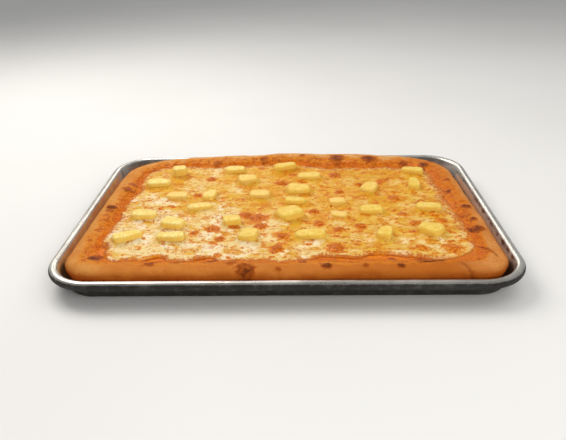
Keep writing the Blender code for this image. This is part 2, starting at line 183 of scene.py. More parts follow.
# The photograph's camera
IMAGE_WIDTH = 566
FOCAL_PX = 621.406
CAMERA_AT = (12.016 * MM, -639.154 * MM, 322.816 * MM)
CAMERA_DOWN = math.radians(26.229)
CAMERA_YAW = math.radians(-1.465)
CAMERA_ROLL = math.radians(-1.089)
SENSOR_WIDTH = 36

# Studio light: name, place, size, power and colour
LIGHTS = [
    ("key", (-0.6, 0.5, 1.0), 0.8, 9.2, (1.0, 0.95, 0.88)),
    ("top", (0.7, 0.2, 1.3), 1.4, 5.0, (1.0, 0.98, 0.95)),
    ("fill", (0.4, -1.1, 0.6), 0.9, 7.9, (1.0, 0.97, 0.94)),
    ("card", (-0.1, 1.7, 0.95), 0.6, 3.4, (1.0, 0.93, 0.85)),
]
SKY_STRENGTH = 0.48
SKY_FRONT = 0.22  # how bright the sky is towards the viewer, as a share of the brightest part
FLOOR_HALF_SIZE = 6.0


# Shapes shared with the solids


def wave(x, y, scale, layer):
    return noise.noise(Vector((x / scale, y / scale, layer * 7.3)))


def field(points, scale, layer, stretch=(1, 1, 1)):
    """Smooth noise from about -1 to 1 at every point of an array."""
    places = np.asarray(points) * stretch / scale + (0, 0, layer * 7.3)
    return np.array([noise.noise(Vector(place)) for place in places.tolist()])


def rounded_rectangle(centre, half_length, half_width, radii, steps):
    long_steps, short_steps, corner_steps = steps
    back, front = radii
    corners = [
        (half_length - back, half_width - back, back, 0, long_steps),
        (back - half_length, half_width - back, back, 90, short_steps),
        (front - half_length, front - half_width, front, 180, long_steps),
        (half_length - front, front - half_width, front, 270, short_steps),
    ]
    points = []
    for k, (x, y, radius, start, side_steps) in enumerate(corners):
        for i in range(corner_steps + 1):
            turn = math.radians(start + 90 * i / corner_steps)
            points.append((x + radius * math.cos(turn), y + radius * math.sin(turn)))
        next_x, next_y, next_radius, next_start, _ = corners[(k + 1) % 4]
        turn = math.radians(next_start)
        ahead = (next_x + next_radius * math.cos(turn), next_y + next_radius * math.sin(turn))
        last = points[-1]
        for i in range(1, side_steps):
            t = i / side_steps
            points.append((last[0] + (ahead[0] - last[0]) * t, last[1] + (ahead[1] - last[1]) * t))
    return np.array(points) + np.array(centre)


def dough_outline(inset):
    corners = [radius - inset for radius in DOUGH_CORNERS]
    points = rounded_rectangle(
        DOUGH_CENTRE, DOUGH_HALF_LENGTH - inset, DOUGH_HALF_WIDTH - inset, corners, OUTLINE_STEPS
    )
    points[:, 0] *= 1 - DOUGH_FLARE * points[:, 1] / DOUGH_HALF_WIDTH
    return points


def recess_outline():
    points = rounded_rectangle(
        RECESS_CENTRE, RECESS_HALF_LENGTH, RECESS_HALF_WIDTH, RECESS_CORNERS, OUTLINE_STEPS
    )
    back = np.maximum(0, points[:, 1] / RECESS_HALF_WIDTH) ** 2
    points[:, 0] *= 1 - RECESS_FLARE * points[:, 1] / RECESS_HALF_WIDTH
    right = 1 / (1 + np.exp(-(points[:, 0] - 32 * MM) / (9 * MM)))
    points[:, 1] -= RECESS_BACK_STEP * back * right
    return points


def crown_height(x, y):
    height = CROWN_Z + CROWN_WAVE * (wave(x, y, 45 * MM, 1) + 0.5 * wave(x, y, 24 * MM, 8))
    for sx, sy, reach, rise in SWELLS:
        away = math.hypot(x - sx * MM, y - sy * MM) / (reach * MM)
        height += rise * MM * math.exp(-away * away)
    return height


def dough_rings():
    """The solid's rings, from the foot of the outer face over the crown to the recess."""
    outer = dough_outline(0)
    lift = np.array([crown_height(x, y) for x, y in outer]) - CROWN_Z
    outward = outer / np.linalg.norm(outer, axis=1)[:, None]
    rings = []
    for inset, height in DOUGH_SIDE:
        share = height / DOUGH_SIDE[-1][1]
        swell = [wave(x, y, 38 * MM, 2) + 0.4 * wave(x, y, 20 * MM, 9 + share) for x, y in outer]
        swell = np.array(swell) * SIDE_WAVE * math.sin(math.pi * min(1, share + 0.1))
        flat = dough_outline(inset * MM) + outward * swell[:, None]
        top = height * MM + lift * share if height else 0 * lift
        rings.append(np.column_stack([flat, PAN_SHEET + GAP + top]))
    crown = dough_outline(CROWN_INSET)
    crown_z = np.array([crown_height(x, y) for x, y in crown])
    rings.append(np.column_stack([crown, crown_z]))
    foot = recess_outline()
    inward = foot - crown
    unit = inward / np.linalg.norm(inward, axis=1)[:, None]
    ripple = np.array([wave(x, y, 19 * MM, 3) for x, y in crown])
    for share, height in SLOPE:
        push = SLOPE_WAVE * ((1 + ripple) * math.sin(math.pi * share) - 1)
        flat = crown + inward * share + unit * push[:, None]
        rings.append(np.column_stack([flat, height * MM + (crown_z - CROWN_Z) * (1 - share)]))
    rings.append(np.column_stack([foot, np.full(len(foot), RECESS_Z)]))
    return np.array(rings)


def smooth_rings(rings, parts):
    """More rings on smooth curves through the given ones."""
    padded = np.concatenate([2 * rings[:1] - rings[1:2], rings, 2 * rings[-1:] - rings[-2:-1]])
    out = []
    for k in range(len(rings) - 1):
        a, b, c, d = padded[k:k + 4]
        for i in range(parts):
            t = i / parts
            out.append(0.5 * (2 * b + (c - a) * t + (2 * a - 5 * b + 4 * c - d) * t * t
                              + (3 * b - a - 3 * c + d) * t ** 3))
    out.append(rings[-1])
    return np.array(out)


def smooth_step(low, high, value):
    t = np.clip((value - low) / (high - low), 0, 1)
    return t * t * (3 - 2 * t)


def mesh_object(name, replaced, points, faces, material, masks):
    """A smooth piece in place of one solid, with its masks as attributes of the points."""
    mesh = bpy.data.meshes.new(name)
    mesh.from_pydata(np.asarray(points).tolist(), [], faces)
    mesh.materials.append(material)
    mesh.shade_smooth()
    for key, values in masks.items():
        values = np.asarray(values, dtype=np.float32)
        kind = "FLOAT" if values.ndim == 1 else "FLOAT_VECTOR"
        layer = mesh.attributes.new(key, kind, "POINT")
        layer.data.foreach_set("value" if values.ndim == 1 else "vector", values.ravel())
    obj = bpy.data.objects.new(name, mesh)
    bpy.context.scene.collection.objects.link(obj)
    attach(obj, "root")
    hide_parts(replaced)


def tube_faces(rows, count):
    """Quads between rows of rings, facing outwards for rings that run anticlockwise and rise."""
    faces = []
    for k in range(rows - 1):
        a = k * count
        for i in range(count):
            j = (i + 1) % count
            faces.append((a + i, a + j, a + count + j, a + count + i))
    return faces


def closed_tube(rings):
    """Points and faces of rings that a fan round the middle closes at both ends."""
    rows, count = rings.shape[:2]
    points = np.vstack([rings.reshape(-1, 3), rings[0].mean(0), rings[-1].mean(0)])
    faces = tube_faces(rows, count)
    last = (rows - 1) * count
    for i in range(count):
        j = (i + 1) % count
        faces.append((j, i, len(points) - 2))
        faces.append((last + i, last + j, len(points) - 1))
    return points, faces


# Materials


def feed(tree, socket, value):
    """Links a socket to another one, or sets it to a plain value."""
    if isinstance(value, bpy.types.NodeSocket):
        tree.links.new(value, socket)
    else:
        socket.default_value = value


def add_node(tree, kind, inputs, **settings):
    made = tree.nodes.new(kind)
    for key, value in settings.items():
        setattr(made, key, value)
    for key, value in inputs.items():
        feed(tree, made.inputs[key], value)
    return made


class Shader:
    """A node material under construction."""

    def __init__(self, name):
        self.material = bpy.data.materials.new(name)
        self.material.use_nodes = True
        self.tree = self.material.node_tree
        self.body = self.tree.nodes["Principled BSDF"]
        self.place = self.node("ShaderNodeTexCoord", {}).outputs["Object"]

    def node(self, kind, inputs, **settings):
        return add_node(self.tree, kind, inputs, **settings)

    def put(self, name, value):
        """Links or sets one input of the surface itself."""
        feed(self.tree, self.body.inputs[name], value)

    def surface(self, colour, roughness, specular):
        self.put("Base Color", colour)
        self.put("Roughness", roughness)
        self.put("Specular IOR Level", specular)

    def mask(self, name, output="Fac"):
        return self.node("ShaderNodeAttribute", {}, attribute_name=name).outputs[output]

    def scaled(self, vector, scale, turn):
        inputs = {"Vector": vector, "Scale": scale, "Rotation": (0, 0, turn)}
        return self.node("ShaderNodeMapping", inputs).outputs["Vector"]

    def noise(self, size, detail=3.0, roughness=0.55, distortion=0.0, vector=None):
        """Noise from 0 to 1 whose lumps are about size metres across."""
        inputs = {"Vector": vector or self.place, "Scale": 1 / size, "Detail": detail}
        inputs.update({"Roughness": roughness, "Distortion": distortion})
        return self.node("ShaderNodeTexNoise", inputs).outputs["Fac"]

    def math(self, operation, a, b=0.0, clamp=False):
        made = self.node("ShaderNodeMath", {0: a, 1: b}, operation=operation, use_clamp=clamp)
        return made.outputs[0]

    def add(self, a, b):
        return self.math("ADD", a, b)

    def times(self, a, b):
        return self.math("MULTIPLY", a, b)

    def ramp(self, value, low, high, to_low=0.0, to_high=1.0):
        inputs = {"Value": value, "From Min": low, "From Max": high, "To Min": to_low, "To Max": to_high}
        return self.node("ShaderNodeMapRange", inputs, interpolation_type="SMOOTHSTEP").outputs["Result"]

    def mix(self, factor, a, b):
        """A mix of two colours, which are sockets or 0 to 255 display values."""
        a, b = [linear(colour) if isinstance(colour, tuple) else colour for colour in (a, b)]
        return self.node("ShaderNodeMix", {"Factor": factor, 6: a, 7: b}, data_type="RGBA").outputs[2]

    def over(self, colour, paint, where, low, high, most):
        """Paint laid over a colour, from nothing where the pattern is at low to the share most at high."""
        return self.mix(self.ramp(where, low, high, 0, most), colour, paint)

    def height(self, value, distance, strength):
        bump = self.node("ShaderNodeBump", {"Height": value, "Distance": distance, "Strength": strength})
        self.put("Normal", bump.outputs["Normal"])

    def soft(self, weight, reach):
        """Light that sinks in and comes out again up to reach metres away, for red, green and blue."""
        self.put("Subsurface Weight", weight)
        self.put("Subsurface Radius", reach)
        self.put("Subsurface Scale", 1.0)

    def up(self):
        """The upward part of the surface's own normal, from -1 to 1."""
        normal = self.node("ShaderNodeNewGeometry", {}).outputs["Normal"]
        return self.node("ShaderNodeSeparateXYZ", {0: normal}).outputs["Z"]

    def axis(self, name):
        return self.node("ShaderNodeSeparateXYZ", {0: self.place}).outputs[name]


def linear(colour):
    """Linear colour from 0 to 255 display values."""
    out = []
    for c in colour:
        c /= 255
        out.append(c / 12.92 if c <= 0.04045 else ((c + 0.055) / 1.055) ** 2.4)
    return (*out, 1)


def crust_material():
    s = Shader("baked_dough")
    blotch = s.noise(0.02, 3)
    fine = s.noise(0.0045, 4, 0.6)
    pores = s.noise(0.0014, 2, 0.6)
    colour = s.mix(s.ramp(blotch, 0.36, 0.64), (190, 104, 34), (174, 86, 26))
    # Darker towards the right end, on the sides and on the top: painted shade
    colour = s.mix(s.ramp(s.axis("X"), 0.05, 0.19, 0, 0.5), colour, (158, 80, 24))
    top = s.mix(s.ramp(s.axis("X"), -0.1, 0.17), (212, 134, 60), (184, 102, 34))
    ends = s.mix(s.ramp(s.axis("X"), -0.05, 0.05), (220, 154, 80), (216, 146, 78))
    middle = s.mix(s.ramp(s.axis("Y"), -0.13, -0.09), top, (230, 178, 112))
    top = s.mix(s.ramp(s.math("ABSOLUTE", s.axis("X")), 0.15, 0.19), middle, ends)
    top = s.over(top, (194, 108, 38), blotch, 0.36, 0.64, 0.4)
    colour = s.over(colour, top, s.up(), 0.25, 0.95, 0.9)
    colour = s.over(colour, (194, 102, 34), fine, 0.52, 0.72, 0.4)
    # Darker and browner towards the foot of the crust: painted shade
    low = s.ramp(s.axis("Z"), 0.005, 0.024, 1, 0)
    colour = s.mix(s.times(low, 0.75), colour, (188, 88, 24))
    spread = s.ramp(s.noise(0.009, 4, 0.62, 0.4), 0.32, 0.68, -0.35, 0.35)
    oil = s.add(s.mask("oil"), spread)
    oily = s.mix(s.ramp(s.axis("X"), 0.05, 0.17), (220, 134, 32), (216, 121, 10))
    colour = s.mix(s.ramp(oil, 0.2, 1.0), colour, oily)
    speck = s.noise(0.0018, 3, 0.65)
    wet = s.ramp(s.add(oil, s.ramp(speck, 0.34, 0.66, -0.4, 0.4)), 0.7, 1.2)
    colour = s.mix(s.times(wet, s.ramp(speck, 0.5, 0.62, 0, 0.5)), colour, (166, 74, 18))
    # Lighter specks in the oily parts: painted glints of the oil
    colour = s.mix(s.times(wet, s.ramp(speck, 0.42, 0.34, 0, 0.35)), colour, (240, 164, 78))
    baked = s.add(oil, s.ramp(s.noise(0.006, 4, 0.65), 0.34, 0.68, -0.5, 0.5))
    colour = s.over(colour, (170, 78, 22), baked, 0.95, 1.45, 0.7)
    char = s.add(s.mask("char"), s.ramp(s.noise(0.0045, 4, 0.62), 0.3, 0.7, -0.28, 0.28))
    colour = s.over(colour, (164, 76, 20), char, 0.15, 0.6, 0.85)
    colour = s.over(colour, (98, 46, 16), char, 0.55, 1.1, 0.9)
    # Darker along the creases: painted shade
    colour = s.over(colour, (140, 70, 26), s.mask("crease"), 0.1, 0.9, 0.6)
    colour = s.over(colour, (150, 78, 30), pores, 0.58, 0.8, 0.3)
    s.surface(colour, s.ramp(oil, 0.4, 0.95, 0.8, 0.45), 0.06)
    bumps = s.add(s.times(fine, 0.7), s.times(pores, 0.3))
    s.height(bumps, 0.0009, 0.6)
    return s.material


def sauce_material():
    s = Shader("tomato_sauce")
    curd = s.noise(0.0042, 4, 0.65, 0.5)
    patch = s.noise(0.012, 3)
    froth = s.noise(0.0016, 2, 0.6)
    colour = s.mix(s.ramp(patch, 0.35, 0.65), (238, 134, 16), (224, 112, 10))
    baked = s.add(curd, s.times(s.mask("toast"), 0.07))
    colour = s.over(colour, (158, 70, 20), baked, 0.55, 0.68, 0.6)
    bead = s.times(s.ramp(froth, 0.55, 0.64), s.ramp(s.noise(0.009, 3), 0.4, 0.56))
    colour = s.over(colour, (156, 68, 18), s.noise(0.0019, 3, 0.65), 0.52, 0.62, 0.55)
    colour = s.mix(s.times(bead, 0.6), colour, (244, 168, 90))
    # Baked spots, and painted shade along the creases
    char = s.add(s.mask("char"), s.ramp(curd, 0.3, 0.7, -0.25, 0.25))
    colour = s.over(colour, (160, 72, 20), char, 0.2, 0.6, 0.8)
    colour = s.over(colour, (92, 40, 12), char, 0.55, 1.0, 0.85)
    s.surface(colour, s.ramp(curd, 0.3, 0.7, 0.35, 0.55), 0.12)
    s.height(s.add(curd, s.times(froth, 0.4)), 0.0012, 0.8)
    return s.material


def cheese_material():
    s = Shader("melted_cheese")
    broad = s.noise(0.024, 3, 0.55, 0.6)
    patch = s.noise(0.0105, 4, 0.6, 0.9, s.scaled(s.place, (0.7, 1, 1), 0.2))
    strands = s.noise(0.0062, 3, 0.55, 1.3, s.scaled(s.place, (0.45, 1, 1), 0.25))
    curd = s.noise(0.0034, 3, 0.55, 0.5)
    froth = s.noise(0.0016, 2, 0.6)
    toast = s.mask("toast")
    # Lighter cream lumps with painted highlights on them, fewer where the cheese is toasted
    lumps_and_highlights = s.math("SUBTRACT", s.noise(0.017, 2, 0.5, 0.8), s.times(toast, 0.1))
    yellow = s.add(s.ramp(strands, 0.38, 0.62, 0, 0.6), s.ramp(broad, 0.36, 0.64, -0.3, 0.4))
    yellow = s.add(yellow, s.times(toast, 0.8))
    warm = s.ramp(toast, 0.12, 0.5)
    cream = s.mix(warm, (240, 214, 152), (238, 200, 108))
    colour = s.mix(s.ramp(yellow, 0.15, 1.05), cream, (226, 176, 54))
    # colour of the cream lumps and painted highlights
    lump_and_highlight_colour = s.mix(warm, (251, 236, 204), (246, 218, 146))
    colour = s.mix(s.ramp(lumps_and_highlights, 0.5, 0.62, 0, 0.75), colour, lump_and_highlight_colour)
    gold = s.add(patch, s.times(toast, 0.14))
    gold = s.add(gold, s.ramp(broad, 0.36, 0.64, -0.05, 0.05))
    colour = s.over(colour, (222, 148, 36), gold, 0.52, 0.7, 0.9)
    deep = s.add(gold, s.ramp(curd, 0.36, 0.64, -0.04, 0.04))
    colour = s.over(colour, (208, 112, 22), deep, 0.66, 0.8, 0.85)
    edge = s.mask("edge")
    colour = s.over(colour, (226, 162, 34), toast, 0.25, 0.7, 0.45)
    colour = s.mix(s.times(s.ramp(edge, 0.05, 0.5), 0.6), colour, (232, 188, 116))
    lace = s.add(s.ramp(froth, 0.34, 0.66, -0.35, 0.35), s.ramp(curd, 0.34, 0.66, -0.5, 0.5))
    lace = s.add(lace, s.ramp(patch, 0.36, 0.64, -0.2, 0.25))
    lace = s.ramp(s.add(lace, edge), 0.32, 0.76, 0, 0.9)
    colour = s.mix(lace, colour, (184, 96, 38))
    bay = s.add(s.mask("bay"), s.ramp(curd, 0.32, 0.68, -0.35, 0.35))
    colour = s.over(colour, (208, 108, 28), bay, 0.25, 0.75, 0.95)
    fringe = s.add(edge, s.ramp(curd, 0.34, 0.66, -0.2, 0.2))
    colour = s.over(colour, (196, 104, 36), fringe, 0.38, 0.86, 0.85)
    colour = s.mix(s.times(s.mask("lip"), 0.7), colour, (234, 176, 112))
    # A dark line under the folded lip: painted shade
    colour = s.mix(s.times(s.mask("seam"), 0.8), colour, (150, 66, 20))
    brown = s.add(s.mask("brown"), s.ramp(curd, 0.32, 0.68, -0.25, 0.25))
    colour = s.over(colour, (226, 142, 26), brown, 0.08, 0.36, 0.92)
    colour = s.over(colour, (224, 120, 14), brown, 0.34, 0.75, 0.9)
    dark = s.add(s.times(brown, 0.8), s.ramp(froth, 0.34, 0.66, -0.5, 0.4))
    colour = s.over(colour, (158, 66, 12), dark, 0.4, 0.85, 0.75)
    glint = s.times(s.ramp(froth, 0.42, 0.3), s.ramp(brown, 0.05, 0.4))
    colour = s.mix(s.times(glint, 0.5), colour, (240, 184, 96))
    rough = s.math("SUBTRACT", s.ramp(curd, 0.3, 0.7, 0.34, 0.54), s.ramp(brown, 0.1, 0.6, 0, 0.14))
    s.surface(colour, rough, 0.08)
    s.soft(0.2, (0.003, 0.002, 0.0008))
    bumps = s.add(s.times(strands, 0.6), s.times(curd, 0.4))
    s.height(s.add(bumps, s.times(froth, 0.25)), 0.0016, 0.8)
    return s.material


def fruit_material():
    s = Shader("pineapple_flesh")
    local = s.mask("local", "Vector")
    fibre = s.noise(0.0014, 3, 0.65, 0.6, s.scaled(local, (0.9, 0.2, 0.5), 0.3))
    cloud = s.noise(0.007, 2, vector=local)
    left = s.mix(s.ramp(cloud, 0.35, 0.65), (254, 232, 150), (250, 220, 118))
    right = s.mix(s.ramp(cloud, 0.35, 0.65), (247, 217, 112), (239, 201, 84))
    colour = s.mix(s.ramp(s.axis("X"), -0.11, -0.02), left, right)
    colour = s.over(colour, (232, 182, 64), fibre, 0.46, 0.62, 0.55)
    # The sides painted a brighter gold: painted light that lifts their shade
    colour = s.over(colour, (255, 212, 96), s.up(), 0.8, 0.1, 0.7)
    film = s.add(s.mask("film"), s.ramp(s.noise(0.004, 4, 0.6, 0.6), 0.34, 0.66, -0.35, 0.35))
    colour = s.over(colour, (248, 206, 116), film, 0.35, 0.75, 0.75)
    s.surface(colour, s.ramp(fibre, 0.3, 0.7, 0.35, 0.55), 0.16)
    s.soft(0.35, (0.004, 0.0035, 0.0026))
    s.height(fibre, 0.0005, 0.6)
    return s.material


def pan_material():
    s = Shader("bare_aluminium")
    scratches = s.noise(0.0012, 4, 0.7, 0.0, s.scaled(s.place, (0.05, 1, 1), 0.1))
    cloud = s.noise(0.03, 4, 0.6)
    grime = s.noise(0.008, 5, 0.65)
    colour = s.mix(s.ramp(cloud, 0.3, 0.7), (224, 221, 214), (190, 186, 178))
    colour = s.over(colour, (150, 144, 136), scratches, 0.5, 0.75, 0.35)
    rough = s.add(s.times(grime, 0.6), s.times(scratches, 0.4))
    spread = s.ramp(grime, 0.32, 0.68, -0.4, 0.4)
    inside = s.add(s.mask("inside"), spread)
    # The inner walls' brown tint: grease stains and painted reflection of the crust, with a lighter pinkish
    # tan at the right that is painted reflection
    stain_and_reflection = s.times(s.ramp(inside, 0.1, 0.7), s.mask("inside"))
    brown = s.mix(s.ramp(s.noise(0.014, 5, 0.65), 0.36, 0.64), (226, 166, 76), (214, 126, 44))
    brown = s.mix(s.ramp(s.axis("X"), 0.1, 0.2, 0, 0.8), brown, (224, 172, 138))
    colour = s.mix(s.times(stain_and_reflection, 0.85), colour, brown)
    # Dark brown low on the inner walls and in the front corners: painted shade in the gap by the crust,
    # with burnt-on grease
    shade_and_burn = s.ramp(s.add(s.mask("shade_and_burn"), s.times(spread, 0.25)), 0.2, 1.0)
    colour = s.mix(s.times(shade_and_burn, 0.92), colour, (44, 26, 16))
    # Near black on the bead's outer half and the outer wall: painted shade and dark reflection
    outer_shade = s.ramp(s.add(s.mask("outside"), s.times(spread, 0.3)), 0.15, 1.0)
    colour = s.mix(s.times(outer_shade, 0.95), colour, (15, 14, 12))
    dull = s.math("MAXIMUM", s.times(stain_and_reflection, 0.95), s.times(outer_shade, 0.97))
    s.put("Metallic", s.math("SUBTRACT", 1.0, s.math("MAXIMUM", dull, shade_and_burn), clamp=True))
    rough = s.add(s.ramp(rough, 0.3, 0.7, 0.24, 0.42), s.times(dull, 0.25))
    s.surface(colour, rough, s.ramp(outer_shade, 0, 1, 0.3, 0.1))
    s.height(scratches, 0.0002, 0.3)
    return s.material


def floor_material():
    s = Shader("pale_floor")
    colour = s.mix(s.ramp(s.noise(0.5, 2), 0.3, 0.7), (244, 244, 243), (240, 240, 239))
    s.surface(colour, 0.9, 0.1)
    return s.material


# Pan


def pan_profile():
    """The pan's section, from the middle of the floor over the bead to the underside.

    Each point is (inset from the outer edge, height, share of the inner wall's brown tint, which is grease
    stains and painted reflection of the crust).
    """
    lean = PAN_WALL_LEAN
    sweep = math.pi / 2 - lean
    bead = (PAN_BEAD_RADIUS, PAN_HEIGHT - PAN_BEAD_RADIUS)

    def bead_point(turn):
        return (bead[0] + PAN_BEAD_RADIUS * math.cos(turn), bead[1] + PAN_BEAD_RADIUS * math.sin(turn))

    tangent = bead_point(lean)
    inner_corner = tangent[0] + (tangent[1] - PAN_SHEET) * math.tan(lean)
    bend = (inner_corner + PAN_BEND_RADIUS * math.tan(sweep / 2), PAN_SHEET + PAN_BEND_RADIUS)

    def bend_point(radius, share):
        turn = sweep * share
        return (bend[0] - radius * math.sin(turn), bend[1] - radius * math.cos(turn))

    shares = [i / PAN_BEND_STEPS for i in range(PAN_BEND_STEPS + 1)]
    floor = [(bend[0] + d * MM, PAN_SHEET, 1) for d in (100, 60, 30, 10)]
    inside = [(*bend_point(PAN_BEND_RADIUS, share), 1) for share in shares]
    low = inside[-1]
    wall = []
    for t in (0.25, 0.5, 0.75):
        wall.append((low[0] + (tangent[0] - low[0]) * t, low[1] + (tangent[1] - low[1]) * t, 1))
    curl = []
    for i in range(PAN_BEAD_STEPS + 1):
        turn = lean + (PAN_BEAD_END - lean) * i / PAN_BEAD_STEPS
        curl.append((*bead_point(turn), max(0, 1 - i / PAN_TINTED_STEPS)))
    outside = [(*bend_point(PAN_BEND_RADIUS + PAN_SHEET, share), 0) for share in shares[::-1]]
    join_z = curl[-1][1] - PAN_HEM_DROP
    join = (outside[0][0] - (join_z - outside[0][1]) * math.tan(lean), join_z, 0)
    seam = (join[0] - 0.25 * MM, join_z + 0.5 * MM, 0)
    return floor + inside + wall + curl + [seam, join] + outside


def near_corner(flat, place, reach):
    """1 round a place and its mirror image on the left, falling to 0 between the two distances of reach."""
    full, end = reach
    return smooth_step(end, full, np.hypot(np.abs(flat[:, 0]) - place[0], flat[:, 1] - place[1]))


def make_pan(material):
    rings = []
    masks = {"inside": [], "outside": [], "shade_and_burn": []}
    for inset, height, inner_tint in pan_profile():
        corner = max(PAN_CORNER - inset, 4 * MM)
        half_length, half_width = PAN_LENGTH / 2 - inset, PAN_WIDTH / 2 - inset
        flat = rounded_rectangle((0, 0), half_length, half_width, (corner, corner), PAN_STEPS)
        rings.append(np.column_stack([flat, np.full(len(flat), height)]))
        # brown tint of the inner wall, grease stains and painted reflection of the crust, weaker high on
        # the right wall and at the back corners
        brown = np.where((flat[:, 0] < 0) | (height < 21.5 * MM), inner_tint, 0.3 * inner_tint)
        masks["inside"].append(brown * (1 - 0.75 * near_corner(flat, *PAN_BRIGHT_CORNER)))
        # painted shade and dark reflection on the bead's outer half and the outer wall
        outer = inset < PAN_OUTER_INSET or height < 18 * MM
        outer_shade = (1 - inner_tint) * outer * smooth_step(PAN_SHADE_TOP, PAN_SHADE_FULL, height)
        masks["outside"].append(np.full(len(flat), outer_shade))
        # dark brown low on the inner walls and in the front corners: painted shade in the gap by the crust,
        # with burnt-on grease
        low_right = 0.9 * inner_tint * smooth_step(19 * MM, 11 * MM, height)
        low_left = 0.3 * inner_tint * smooth_step(20 * MM, 3 * MM, height)
        low = np.where(flat[:, 0] > 0, low_right, low_left)
        front = near_corner(flat, *PAN_SHADE_AND_BURN_CORNER) * smooth_step(25 * MM, 16 * MM, height)
        masks["shade_and_burn"].append(np.maximum(low, inner_tint * front))
    count = len(rings[0])
    points = np.concatenate(rings)
    faces = tube_faces(len(rings), count)
    faces.append(tuple(range(count))[::-1])
    faces.append(tuple(range(len(points) - count, len(points))))
    faces = [f[::-1] for f in faces]
    masks = {key: np.concatenate(values) for key, values in masks.items()}
    mesh_object("worn_sheet_pan", "sheet_pan", points, faces, material, masks)


# Crust


def ring_normals(grid):
    """Outward normals of rings that run anticlockwise and rise."""
    along = np.roll(grid, -1, axis=1) - np.roll(grid, 1, axis=1)
    across = np.gradient(grid, axis=0)
    normal = np.cross(along, across)
    return normal / np.maximum(np.linalg.norm(normal, axis=2), 1e-12)[:, :, None]


def crease_depth(points, width=3 * MM):
    """1 along the creases of the surface of these points, falling to 0 at the given width from them."""
    best = np.full(len(points), width)
    for path in CREASES:
        path = resampled(np.array(path, dtype=float), 24) * MM
        snapped = [points[np.argmin(np.linalg.norm(points - p, axis=1))] for p in path]
        path = np.array([q for p, q in zip(path, snapped) if np.linalg.norm(p - q) < 3.5 * MM])
        for a, b in zip(path, path[1:]):
            t = np.clip(((points - a) @ (b - a)) / max((b - a) @ (b - a), 1e-12), 0, 1)
            best = np.minimum(best, np.linalg.norm(points - a - t[:, None] * (b - a), axis=1))
    return np.clip(1 - best / width, 0, 1) ** 1.5


def char_share(points):
    """How dark the baked spots are at each point."""
    char = np.zeros(len(points))
    for x, y, radius, dark in CHAR:
        away = np.hypot(points[:, 0] - x * MM, points[:, 1] - y * MM) / (radius * MM)
        char = np.maximum(char, dark * smooth_step(1.25, 0.35, away))
    return char


def bay_share(points, spread):
    """1 in the middle of each bay of the cheese's edge, falling to 0 around it."""
    share = np.zeros(len(points))
    for x, y, reach, _ in BAYS:
        away = np.hypot(points[:, 0] - x * MM, (points[:, 1] - y * MM) / spread) / (reach * MM)
        share = np.maximum(share, np.exp(-away * away))
    return share


def make_crust(rings, material):
    rows, count = rings.shape[:2]
    smooth = rings.reshape(-1, 3)
    level = np.repeat(np.arange(rows) / ROWS_A_RING, count)  # 6 at the crown, 10 at the foot
    char = char_share(smooth) * smooth_step(1.5, 3.5, level)
    lumps = field(smooth, 11 * MM, 1)
    grit = field(smooth, 3.6 * MM, 2)
    crumple = np.maximum(0, field(smooth, 6.5 * MM, 3)) * smooth_step(5.5, 7, level)
    crease = crease_depth(smooth)
    rise = 0.45 * lumps + 0.16 * grit + 0.5 * crumple + 0.7 * char - 1.3 * crease
    rise *= smooth_step(0.3, 1.5, level) * MM
    shaped = smooth + ring_normals(rings).reshape(-1, 3) * rise[:, None]
    x, y = smooth[:, 0], smooth[:, 1]
    start = 6.4 - 0.5 * smooth_step(0.10, 0.135, y) * smooth_step(-0.19, -0.12, x)
    start -= 1.6 * bay_share(smooth, 1.5) + 1.1 * smooth_step(0.15, 0.19, x) * smooth_step(-0.10, 0.0, y)
    start += 0.8 * field(shaped, 18 * MM, 22) + 0.35 * lumps
    oil = smooth_step(-0.4, 1.3, level - start)
    points, faces = closed_tube(shaped.reshape(rings.shape))
    masks = {
        "oil": np.append(oil, [0, 1]),
        "char": np.append(char, [0, 0]),
        "crease": np.append(crease, [0, 0]),
    }
    mesh_object("baked_crust", "dough", points, faces, material, masks)


def on_slope(rings, row):
    """The point of each spoke at a fractional row of the dough, whose rows go on over the recess."""
    inward = rings[FOOT_ROW] - rings[CROWN_ROW]
    inward[:, 2] = 0
    inward /= np.linalg.norm(inward, axis=1)[:, None]
    more = [rings[FOOT_ROW] + inward * RECESS_ROW_STEP * k for k in range(1, RECESS_ROWS + 1)]
    rings = np.concatenate([rings, more])
    low = np.clip(np.floor(row).astype(int), 0, len(rings) - 2)
    part = (row - low)[:, None]
    spokes = np.arange(rings.shape[1])
    return rings[low, spokes] * (1 - part) + rings[low + 1, spokes] * part


def make_sauce(rings, material):
    guide = rings[SAUCE_GUIDE_ROW]
    start = SAUCE_EDGE_ROW + 1.5 * field(guide, 16 * MM, 4) + 1.4 * field(guide, 5 * MM, 5)
    rows, toast, dark = [], [], []
    for share in np.linspace(0, 1, 15):
        ring = on_slope(rings, start + (SAUCE_END_ROW - start) * share)
        char = char_share(ring)
        full = min(1, 4 * share)
        thick = 0.05 + 0.75 * min(1, 3 * share)
        bumps = (0.35 * field(ring, 4.2 * MM, 6) + 0.7 * char) * full
        ring[:, 2] += (thick + bumps) * MM + GAP * full
        pool = POOL_LEVEL + (0.5 * bumps - 3.5 * float(smooth_step(0.85, 1, share))) * MM
        if share > 0.15:
            ring[:, 2] = np.maximum(ring[:, 2], pool)
        rows.append(ring)
        toast.append(toasting(ring))
        dark.append(char)
    under = rows[-1] - (0, 0, 0.8 * MM)
    low_edge = rows[0] - (0, 0, 0.1 * MM)
    points, faces = closed_tube(np.array([under, low_edge] + rows))
    char = np.concatenate([dark[-1], dark[0]] + dark + [[0, 0]])
    masks = {
        "toast": np.concatenate([toast[-1], toast[0]] + toast + [[0, 0]]),
        # the creases are darkened with the baked spots: painted shade along the creases
        "char": np.maximum(char, 0.8 * crease_depth(points, 2 * MM)),
    }
    mesh_object("oily_sauce", "sauce", points, faces, material, masks)


# Cheese


